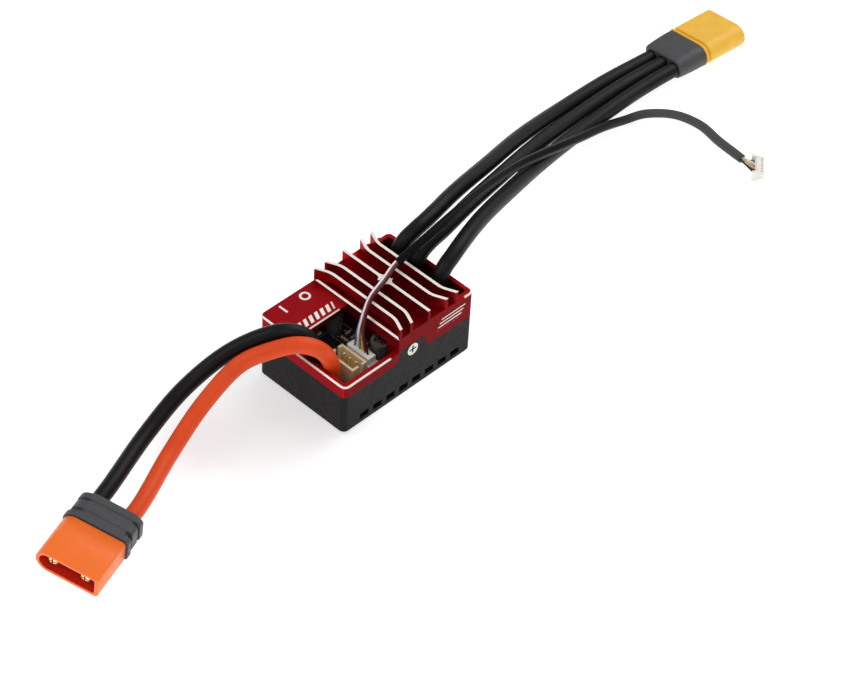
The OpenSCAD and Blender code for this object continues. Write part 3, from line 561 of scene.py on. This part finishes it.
ORANGE_ROUTE = [
    (-18.6, -6.5, PAD_TOP), (-18.6, -6.5, 12), (-18.8, -6.5, 16), (-20.2, -6, 19.8),
    (-22.5, -4.9, 22.8), (-26, -2.2, 24.3), (-31, 1.9, 22.8), (-37, 6.4, 19), (-48, 7.3, 12.8),
    (-62, 4.1, 7.6), (-77.5, -2.7, 6.5), (-83.7, -4.6, 5.9),
]
BLACK_ROUTE = [
    (-18.6, -1.2, PAD_TOP), (-18.6, -1.2, 12), (-18.8, -1.2, 16.2), (-20, -0.9, 20),
    (-22.1, 0.3, 23.4), (-25.5, 3, 24.8), (-30, 7, 23), (-37, 11.8, 18.4), (-48, 14.6, 12.2),
    (-62, 12.5, 8.2), (-80.2, 5.6, 7.7), (-86.4, 3.7, 7.2),
]
MOTOR_ROUTES = {
    "a": [
        (18.2, 8.2, PAD_TOP), (18.2, 8.2, 14), (18.3, 8.1, 18.5), (19.2, 7.9, 21.8), (22.5, 7.4, 24.4),
        (29, 7.9, 25.4), (42, 11.3, 24), (60, 16.5, 19.6), (80, 22.7, 13.9), (103, 27.6, 8),
        (124, 29.9, 4.6), (136.6, 29.6, 3.7), (143.1, 29, 3.7),
    ],
    "b": [
        (18.2, 1.8, PAD_TOP), (18.2, 1.8, 14), (18.3, 1.8, 18.5), (19.2, 1.8, 21.8), (22.5, 1.9, 24.2),
        (29, 2.4, 25.2), (42, 6, 23.4), (60, 11.8, 18.5), (80, 18.1, 12.8), (103, 23.1, 7.6),
        (124, 25.4, 4.8), (136.3, 25.2, 4.2), (142.7, 24.6, 4.3),
    ],
    "c": [
        (18.2, -6.4, PAD_TOP), (18.2, -6.4, 14), (18.3, -6.4, 18.5), (19.2, -6.3, 21.8), (22.2, -6, 23.9),
        (28, -4.4, 25), (40, 0, 23.4), (58, 6.2, 18.5), (78, 12.6, 12.8), (102, 18.3, 7.3),
        (124, 20.9, 4.9), (135.9, 20.7, 4.8), (142.4, 20.2, 4.9),
    ],
}
SLEEVE_ROUTE = [
    (11, 1, 26), (18.5, 0.5, 28.2), (27, 1.1, 29.2), (38, 3.2, 28.2), (51, 6.6, 24.9),
    (66, 10.2, 20.1), (76, 11.4, 17.2), (84.5, 12.1, 14.7), (94.4, 13.4, 11.3), (104.8, 15, 7.6),
    (115.5, 16.3, 3.2), (124, 15.2, 1.5), (129.6, 9.6, 1.4), (131.4, 2, 1.4), (130, -6, 1.4),
    (128.8, -15.4, 1.6),
]
# The thin wires: from the plug on the board, over the fins to the sleeve, and out of it to the far plug
SOCKET_AT = Vector((-8.1, -6.2, 13.8))
BUNDLE_ROUTE = [(-8.1, -6.2, 15), (-7.8, -5.4, 18), (-5.4, -4.2, 22.5), (-2.6, -3.3, 25.4), (3.5, -1.7, 26.3)]
SENSOR_AT = Vector((128.4, -19.6, 1.5))
SENSOR_TURN = -50
SENSOR_PITCH = 1.0
SENSOR_ENTRY = 0.5  # how deep the wires' entry lies behind the plug's ears


def smooth_route(points, count):
    """Evenly spaced points on the smooth curve (a centripetal spline) through the route."""
    pts = [Vector(p) for p in points]
    pts = [pts[0] * 2 - pts[1]] + pts + [pts[-1] * 2 - pts[-2]]
    steps = 20
    dense = []
    for i in range(1, len(pts) - 2):
        p0, p1, p2, p3 = pts[i - 1:i + 3]
        t1 = (p1 - p0).length ** 0.5
        t2 = t1 + (p2 - p1).length ** 0.5
        t3 = t2 + (p3 - p2).length ** 0.5
        for k in range(steps):
            t = t1 + (t2 - t1) * k / steps
            a1 = p0 * ((t1 - t) / t1) + p1 * (t / t1)
            a2 = p1 * ((t2 - t) / (t2 - t1)) + p2 * ((t - t1) / (t2 - t1))
            a3 = p2 * ((t3 - t) / (t3 - t2)) + p3 * ((t - t2) / (t3 - t2))
            b1 = a1 * ((t2 - t) / t2) + a2 * (t / t2)
            b2 = a2 * ((t3 - t) / (t3 - t1)) + a3 * ((t - t1) / (t3 - t1))
            dense.append(b1 * ((t2 - t) / (t2 - t1)) + b2 * ((t - t1) / (t2 - t1)))
    dense.append(pts[-2])
    reach = [0.0]
    for a, b in zip(dense, dense[1:]):
        reach.append(reach[-1] + (b - a).length)
    out, j = [], 0
    for k in range(count):
        goal = reach[-1] * k / (count - 1)
        while j < len(reach) - 2 and reach[j + 1] < goal:
            j += 1
        share = (goal - reach[j]) / max(reach[j + 1] - reach[j], 1e-9)
        out.append(dense[j].lerp(dense[j + 1], min(1, share)))
    return out


def length_of(points):
    """The length of the line through the points."""
    return sum((b - a).length for a, b in zip(points, points[1:]))


def cable(name, points, diameter):
    """A round cable as a curve of one open spline."""
    data = bpy.data.curves.new(name, "CURVE")
    data.dimensions = "3D"
    data.bevel_depth = diameter / 2 * MM
    data.bevel_resolution = 7
    data.resolution_u = 6
    data.use_fill_caps = True
    spline = data.splines.new("BEZIER")
    spline.bezier_points.add(len(points) - 1)
    for knot, p in zip(spline.bezier_points, points):
        knot.co = p * MM
        knot.handle_left_type = knot.handle_right_type = "AUTO"
    return bpy.data.objects.new(name, data)


def lead(name, route, diameter, slot, nodes, count=36, material=None):
    """A free wire along a route: its look and the CAD nodes it stands for."""
    points = smooth_route(route, count)
    piece = adopt(cable(name, points, diameter), slot, material, replaces=nodes)
    return piece


# ---------------------------------------------------------------- battery plug

BATTERY = frame_at((-103.6, -6.1, 4.85), (8, -5, 17))
BATTERY_W, BATTERY_H, BATTERY_L = 17.0, 7.2, 12.2
BATTERY_CAP_L = 8.8
BATTERY_PITCH = 8.8
BATTERY_DEEP = 9.6
BATTERY_WALL = 1.05
PIN_R = 1.5
PIN_SLIT = 0.17     # half the width of the slits in the split pins


def rounded_end(x, inward, w, h, corner, side, size):
    """Rings that round the rim of a plug body; inward is the way into the body along x."""
    return [d_ring(x + inward * size * (1 - math.sin(a)), w - 2 * size * (1 - math.cos(a)),
                   h - 2 * size * (1 - math.cos(a)), corner, side)
            for a in (math.pi / 2 * k / 4 for k in range(5))]


def battery_housing():
    """Orange body, open towards -x of its own frame; the inside of its mouth gets painted shade, a dark red.
    """
    w, h, deep = BATTERY_W, BATTERY_H, BATTERY_DEEP
    inner_w, inner_h = w - 2 * BATTERY_WALL, h - 2 * BATTERY_WALL
    rings = [d_ring(BATTERY_L, w, h, 1.0, 1), d_ring(BATTERY_L / 2, w, h, 1.0, 1)]
    rings += rounded_end(0, 1, w, h, 1.0, 1, 0.3)
    for x, extra, corner in ((0.0, 0.35, 0.7), (0.12, 0.1, 0.6), (0.35, 0.0, 0.5), (deep, 0.0, 0.5)):
        rings.append(d_ring(x, inner_w + extra, inner_h + extra, corner, 1))
    # The rings deep inside the mouth get painted shade: a darker red material
    shade_from_ring = len(rings) - 3
    return loft("battery_housing", rings, BATTERY), shade_from_ring * len(rings[0])


def petal(points, faces, profile, sy, sz, y):
    """One quarter of a split pin: a profile in x and r swept through a quarter turn beside the slits."""
    steps = 7
    base = len(points)
    count = len(profile)
    for k in range(steps + 1):
        a = math.pi / 2 * k / steps
        for x, r in profile:
            points.append(BATTERY @ Vector((x, y + sy * (PIN_SLIT + (r - PIN_SLIT) * math.cos(a)),
                                            sz * (PIN_SLIT + (r - PIN_SLIT) * math.sin(a)))))
    for k in range(steps):
        for j in range(count):
            a, b = base + k * count + j, base + k * count + (j + 1) % count
            faces.append([a, b, b + count, a + count])
    faces.append([base + j for j in range(count)][::-1])
    faces.append([base + steps * count + j for j in range(count)])


def battery_pins():
    """The four springy leaves of each pin."""
    points, faces = [], []
    leaf = [(1.0, 0.25), (1.0, 0.72), (1.08, 1.02), (1.3, 1.28), (1.7, 1.43), (2.4, 1.54), (4.2, 1.54),
            (6.2, 1.48), (6.4, 1.48), (6.4, 0.25)]
    for y in (-BATTERY_PITCH / 2, BATTERY_PITCH / 2):
        for sy in (-1, 1):
            for sz in (-1, 1):
                petal(points, faces, leaf, sy, sz, y)
    return soften(mesh_object("battery_pin_leaves", points, faces), 0.05, 2, 40)


def battery_pin_roots():
    """The solid foot of each pin, with its collar in the plug's floor."""
    parts = []
    for s, tag in ((-1, "positive"), (1, "negative")):
        y = s * BATTERY_PITCH / 2
        rings = [circle_ring(x, y, 0, r) for x, r in ((6.3, PIN_R), (8.9, PIN_R), (8.95, 1.75), (9.35, 1.75),
                                                     (9.4, 1.3), (BATTERY_L + 0.2, 1.3))]
        parts.append(soften(loft("battery_pin_root_" + tag, rings, BATTERY), 0.05, 2, 40))
    return parts


def banded(length, core, bands):
    """Steps of a ribbed cap: x with what each ring adds to the plug's width and height.

    Each band is x0, x1, what it adds to the width and the height, and the height of the waist behind it.
    """
    edge = 0.14
    steps = [(0.0,) + core]
    for x0, x1, dw, dh, waist in bands:
        low_edge = (dw - 2 * edge, dh - 2 * edge)
        steps += [(x0, core[0], steps[-1][2]), (x0 + 0.02,) + low_edge, (x0 + edge, dw, dh),
                  (x1 - edge, dw, dh), (x1 - 0.02,) + low_edge, (x1, core[0], waist)]
    return steps + [(length - 0.5, core[0], core[1]), (length - 0.12, core[0] - 0.35, core[1] - 0.35),
                    (length, core[0] - 1.0, core[1] - 1.0)]


def battery_cap():
    """Grey cap: front band, waist, body, waist, rear flange, and two recesses for the wires."""
    w, h, x0 = BATTERY_W, BATTERY_H, BATTERY_L
    shape = banded(BATTERY_CAP_L, (-2.3, -0.6),
                   [(0.3, 2.0, 0.9, 0.6, 0.2), (3.0, 5.6, 0.0, 0.5, -0.1), (6.3, 8.0, 0.2, 0.25, -0.6)])
    rings = [d_ring(x0 + x, w + dw, h + dh, 1.4, 1, 22) for x, dw, dh in shape]
    piece = loft("battery_cap", rings, BATTERY)
    end = x0 + BATTERY_CAP_L
    bores = [rod("bore", end - 2.6, end + 1, s * BATTERY_PITCH / 2, 0, WIRE_D / 2 + 0.12, BATTERY)
             for s in (-1, 1)]
    return soften(carve(piece, bores), 0.1, 3, 40)


# ---------------------------------------------------------------- motor plug

MOTOR = frame_at((152.9, 23.7, 4.5), (-8, -1, -5))
MOTOR_W, MOTOR_H, MOTOR_L = 15.0, 6.8, 13.4
MOTOR_PITCH = 4.5
MOTOR_LIP = 0.65
MOTOR_GROOVE = 0.95
MOTOR_CAP_L = 10.1


def motor_housing():
    """Yellow body with a groove and a lip in front of the cap, and three socket bores."""
    w, h = MOTOR_W, MOTOR_H
    lip = -MOTOR_GROOVE - MOTOR_LIP
    neck = (w - 1.4, h - 1.2)
    shape = [(lip - 1.5, w - 2.4, h - 2.2), (lip - 0.02, w - 2.4, h - 2.2),
             (lip, w, h), (lip + 0.1, w + 0.2, h + 0.2), (-MOTOR_GROOVE - 0.1, w + 0.2, h + 0.2),
             (-MOTOR_GROOVE, w, h), (-MOTOR_GROOVE + 0.02,) + neck, (-0.02,) + neck,
             (0, w - 0.25, h - 0.25), (0.12, w, h), (MOTOR_L / 2, w, h)]
    rings = [d_ring(x, a, b, 1.0) for x, a, b in shape]
    rings += rounded_end(MOTOR_L, -1, w, h, 1.0, -1, 0.35)
    piece = loft("motor_housing", rings, MOTOR)
    holes = [rod("hole", -4.5, MOTOR_L + 1, i * MOTOR_PITCH, 0, 1.53, MOTOR) for i in (-1, 0, 1)]
    return soften(carve(piece, holes), 0.08, 2, 45)


def motor_cap():
    """Smooth grey cap that narrows to the three wires."""
    w, h = MOTOR_W, MOTOR_H
    end = -MOTOR_GROOVE - MOTOR_LIP
    shape = [
        (0.0, -0.6, -0.5), (0.1, -0.3, -0.2), (0.35, -0.1, 0.0), (2.5, -0.1, 0.0), (5.0, -0.25, -0.15),
        (7.5, -0.45, -0.45), (9.2, -0.65, -0.75), (9.75, -0.8, -0.95), (10.0, -1.1, -1.25),
        (MOTOR_CAP_L, -1.6, -1.7),
    ]
    rings = [d_ring(end - x, w + dw, h + dh, 1.2, -1, 22) for x, dw, dh in shape]
    piece = loft("motor_cap", rings, MOTOR)
    back = end - MOTOR_CAP_L
    bores = [rod("bore", back - 1, back + 2.6, i * MOTOR_PITCH, 0, WIRE_D / 2 + 0.06, MOTOR)
             for i in (-1, 0, 1)]
    return soften(carve(piece, bores), 0.1, 2, 50)


# ---------------------------------------------------------------- make the leads and their plugs

housing, painted_shade_from = battery_housing()
adopt(housing, "plug_orange", replaces=["battery_plug_housing"])
housing.data.materials.append(M["mouth_painted_shade_orange"])
# Painted shade: the faces inside the mouth take the darker red material
for face in housing.data.polygons:
    face.material_index = 1 if min(face.vertices) >= painted_shade_from else 0
leaves = adopt(battery_pins(), "contact_gold", replaces=["battery_plug_pins"])
roots = [adopt(piece, "contact_gold") for piece in battery_pin_roots()]
battery_end = adopt(battery_cap(), "cap_grey", replaces=["battery_plug_cap"])
lead("battery_lead_black", BLACK_ROUTE, WIRE_D, "wire_black",
     nodes=["battery_wire_black"])
lead("battery_lead_orange", ORANGE_ROUTE, WIRE_D, "wire_orange",
     nodes=["battery_wire_orange"])

motor_body = adopt(motor_housing(), "plug_yellow", replaces=["motor_plug_housing"])
motor_end = adopt(motor_cap(), "cap_grey", replaces=["motor_plug_cap"])
for tag, route in MOTOR_ROUTES.items():
    lead("motor_lead_" + tag, route, WIRE_D, "wire_black", nodes=["motor_wire_" + tag])


# Where each thin wire lies round the bundle: 0 degrees is right of its way, 90 is above it
BUNDLE_ANGLES = (180, 120, 240, 300, 60, 0)
BUNDLE_R = 0.56


def bundle_offset(index, direction):
    """From the middle of the bundle to one of its six wires."""
    flat = direction.cross(Vector((0, 0, 1))).normalized()
    high = flat.cross(direction).normalized()
    angle = math.radians(BUNDLE_ANGLES[index])
    return flat * BUNDLE_R * math.cos(angle) + high * BUNDLE_R * math.sin(angle)


def thin_wire_route(index):
    """From the plug on the board, through the sleeve, to the plug at the far end."""
    row = (2.5 - index) * SENSOR_PITCH
    up = Vector((0, 0, 1))
    out = [SOCKET_AT + Vector((0, row, -1.5)), SOCKET_AT + Vector((0, row, 0.4))]
    middle = [Vector(p) for p in BUNDLE_ROUTE + SLEEVE_ROUTE]
    for i, p in enumerate(middle[:-1]):
        ahead = (middle[i + 1] - middle[max(i - 1, 0)]).normalized()
        gather = min(1.0, i / 2.0) ** 0.8
        fan = Vector((0, row, 0)) * (1 - gather) * 0.85
        out.append(p + fan + bundle_offset(index, ahead) * gather)
    # They leave the sleeve in the order of the plug's contacts, one up and one down
    side = up.cross((middle[-1] - middle[-2]).normalized())
    out.append(middle[-1] + side * row * 0.33 + up * (index % 2 - 0.5) * THIN_D)
    turn = math.radians(SENSOR_TURN)
    ahead = Vector((math.cos(turn), math.sin(turn), 0))
    end = SENSOR_AT + ahead * SENSOR_ENTRY + up.cross(ahead) * row
    straight = (end - out[-1]).normalized()
    out.append(end - straight * 0.15)
    out.append(end + straight * 0.6)
    return out


thin_nodes = {0: ["sensor_wires"], 1: ["sensor_tail_wires"]}
for number, hue in enumerate(THIN_WIRES):
    route = thin_wire_route(number)
    lead("sensor_wire_" + hue, route, THIN_D, "wire_mixed", count=60,
         material="thin_" + hue, nodes=thin_nodes.get(number, []))


RIB_RISE = 0.035    # of the sleeve's radius
RIB_TWIST = 2.2     # turn of the ribs along the whole sleeve, in radians


def ribbed_tube(name, points, diameter):
    """A tube whose skin shows the wires under it as soft ribs, and which necks in a little at both ends."""
    ribs = len(THIN_WIRES)
    around = 7 * ribs
    rings = []
    side = None
    travelled = 0.0
    total = length_of(points)
    for i, p in enumerate(points):
        way = (points[min(i + 1, len(points) - 1)] - points[max(i - 1, 0)]).normalized()
        side = way.orthogonal() if side is None else side
        side = (side - way * side.dot(way)).normalized()
        other = way.cross(side)
        if i:
            travelled += (p - points[i - 1]).length
        neck = 1 - 0.26 * math.exp(-travelled / 5) - 0.06 * math.exp((travelled - total) / 1.5)
        ring = []
        for k in range(around):
            a = 2 * math.pi * k / around
            wave = math.cos(ribs * (a - RIB_TWIST * travelled / total))
            r = diameter / 2 * neck * (1 - RIB_RISE + RIB_RISE * wave)
            ring.append(p + side * r * math.cos(a) + other * r * math.sin(a))
        rings.append(ring)
    return loft(name, rings)


sleeve_path = smooth_route(SLEEVE_ROUTE, 150)
sleeve = adopt(ribbed_tube("sensor_sleeve_cover", sleeve_path, SLEEVE_D), "sleeve_dark",
               replaces=["sensor_sleeve"])

# ---------------------------------------------------------------- CAD nodes that stay

slot_of = {entry["node"]: entry["material_slot"] for entry in frame["record"]["subparts"]}
# How wide the edges of each CAD node are rounded
EDGE = {
    "base_tray": 0.18, "heat_sink_cover": 0.09, "case_screws": 0.05, "receiver_header": 0.08,
    "sensor_socket": 0.08, "sensor_board_plug": 0.1, "switch_frame": 0.1, "switch_lever": 0.12,
    "sensor_lead_plug": 0.1, "capacitor_sleeves": 0.25, "microcontroller": 0.06, "ceramic_capacitors": 0.06,
    "power_mosfets": 0.08, "bec_inductor": 0.15, "receiver_pins": 0.08, "sensor_lead_contacts": 0.03,
}
for name, piece in frame["nodes"].items():
    if piece.hide_render:
        continue
    piece.data.materials.clear()
    piece.data.materials.append(M[slot_of[name]])
    if name in EDGE:
        soften(piece, EDGE[name], 2, 25, clean=True)

# ---------------------------------------------------------------- small parts on the board


def islands(node_name):
    """The box of each separate solid in a CAD node, in millimetres."""
    mesh = frame["nodes"][node_name].data
    spots = {}      # the number of each distinct place that a vertex has
    group = []
    for vertex in mesh.vertices:
        key = tuple(round(c / MM, 3) for c in vertex.co)
        group.append(spots.setdefault(key, len(spots)))
    parent = list(range(len(spots)))

    def root(i):
        """The place that stands for the whole solid of place i."""
        while parent[i] != i:
            i = parent[i]
        return i

    for face in mesh.polygons:
        first = root(group[face.vertices[0]])
        for v in face.vertices[1:]:
            parent[root(group[v])] = first
    boxes = {}
    for key, i in spots.items():
        low, high = boxes.setdefault(root(i), ([9e9] * 3, [-9e9] * 3))
        for axis in range(3):
            low[axis] = min(low[axis], key[axis])
            high[axis] = max(high[axis], key[axis])
    return sorted(boxes.values())


def add_box(points, faces, low, high):
    """Adds a closed box to a list of points and faces."""
    base = len(points)
    points += [(x, y, z) for x in (low[0], high[0]) for y in (low[1], high[1]) for z in (low[2], high[2])]
    for quad in ((0, 1, 3, 2), (4, 6, 7, 5), (0, 4, 5, 1), (2, 3, 7, 6), (0, 2, 6, 4), (1, 5, 7, 3)):
        faces.append([base + i for i in quad])


def tinned_ends():
    """Solder wrapped round both ends of each chip capacitor."""
    skin = 0.03
    cover = 0.26    # how far it reaches over the chip
    past = 0.10     # and beyond its end
    points, faces = [], []
    for low, high in islands("ceramic_capacitors"):
        along = 0 if high[0] - low[0] > high[1] - low[1] else 1
        for at_high_end in (False, True):
            a = [v - skin for v in low]
            b = [v + skin for v in high]
            a[2] = low[2]
            if at_high_end:
                a[along] = high[along] - cover
                b[along] = high[along] + past
            else:
                b[along] = low[along] + cover
                a[along] = low[along] - past
            add_box(points, faces, a, b)
    return soften(mesh_object("chip_ends", points, faces), 0.05, 2, 30)


def chip_leads():
    """Gull wing leads round the controller chip."""
    low, high = ([c / MM for c in corner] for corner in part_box("microcontroller"))
    middle = [(a + b) / 2 for a, b in zip(low, high)]
    pitch = 0.55
    half_width = 0.13
    # Shoulder, leg and foot: from where to where out of the chip's side, and how high over the board
    parts = ((-0.1, 0.22, 0.28, 0.42), (0.14, 0.26, 0.02, 0.42), (0.18, 0.6, 0.0, 0.12))
    points, faces = [], []
    for i in range(8):
        t = (i - 3.5) * pitch
        for sign in (-1, 1):
            edge = high if sign > 0 else low
            for axis in (0, 1):
                for x0, x1, z0, z1 in parts:
                    a = [0, 0, low[2] + z0]
                    b = [0, 0, low[2] + z1]
                    a[axis], b[axis] = sorted((edge[axis] + sign * x0, edge[axis] + sign * x1))
                    a[1 - axis] = middle[1 - axis] + t - half_width
                    b[1 - axis] = middle[1 - axis] + t + half_width
                    add_box(points, faces, a, b)
    return soften(mesh_object("chip_leads", points, faces), 0.03, 2, 30)


adopt(tinned_ends(), "solder")
adopt(chip_leads(), "solder")

# ---------------------------------------------------------------- floor and light

FLOOR_Z = -0.2
# Painted shadow: the floor's glow is weaker round this point and back to full beyond the second distance
SHADOW_AT = (-33.0, 6.0, 0.0)   # the contact shadow stays round this point
SHADOW_REACH = (16, 42)         # it fades out between these distances


def stage():
    """A plain white floor that glows, which washes out shadows; beside the case it glows less, a painted
    shadow, so that its contact shadow stays grey.
    """
    bpy.ops.mesh.primitive_plane_add(size=8, location=(0, 0, FLOOR_Z * MM))
    floor = bpy.context.object
    floor.name = "floor"
    material, tree, shader = start("floor")
    cloud = spread(tree, noise(tree, 300), 0, 1)
    tree.links.new(mix_colour(tree, cloud, (0.50, 0.50, 0.50, 1), (0.52, 0.52, 0.52, 1)),
                   shader.inputs["Base Color"])
    place = node(tree, "ShaderNodeVectorMath", {0: position(tree), 1: Vector(SHADOW_AT) * MM},
                 operation="DISTANCE").outputs["Value"]
    # Painted shadow: less glow near SHADOW_AT
    painted_shadow_fade = smooth_step(tree, place, SHADOW_REACH[0] * MM, SHADOW_REACH[1] * MM)
    tree.links.new(mix_colour(tree, painted_shadow_fade, (0.54, 0.535, 0.54, 1), (0.86, 0.86, 0.86, 1)),
                   shader.inputs["Emission Color"])
    fixed(shader, Roughness=0.9, Specular_IOR_Level=0.1, Emission_Strength=1.0)
    floor.data.materials.append(material)


def area_light(name, power, size, at):
    """A square soft light aimed at the origin; size and place in metres."""
    data = bpy.data.lights.new(name, "AREA")
    data.energy = power
    data.shape = "SQUARE"
    data.size = size
    lamp = bpy.data.objects.new(name, data)
    lamp.location = at
    lamp.rotation_euler = (-Vector(at)).to_track_quat("-Z", "Y").to_euler()
    bpy.context.scene.collection.objects.link(lamp)


stage()
world = bpy.data.worlds.new("studio")
bpy.context.scene.world = world
world.use_nodes = True
world.node_tree.nodes["Background"].inputs[0].default_value = (1, 1, 1, 1)
world.node_tree.nodes["Background"].inputs[1].default_value = 0.48
area_light("key", 8.6, 1.1, (0.95, -0.05, 1.10))
area_light("fill", 3.6, 0.9, (-0.85, 0.45, 0.95))
area_light("front", 2.6, 0.7, (-0.60, -0.85, 1.25))
bpy.context.scene.view_settings.view_transform = "Standard"
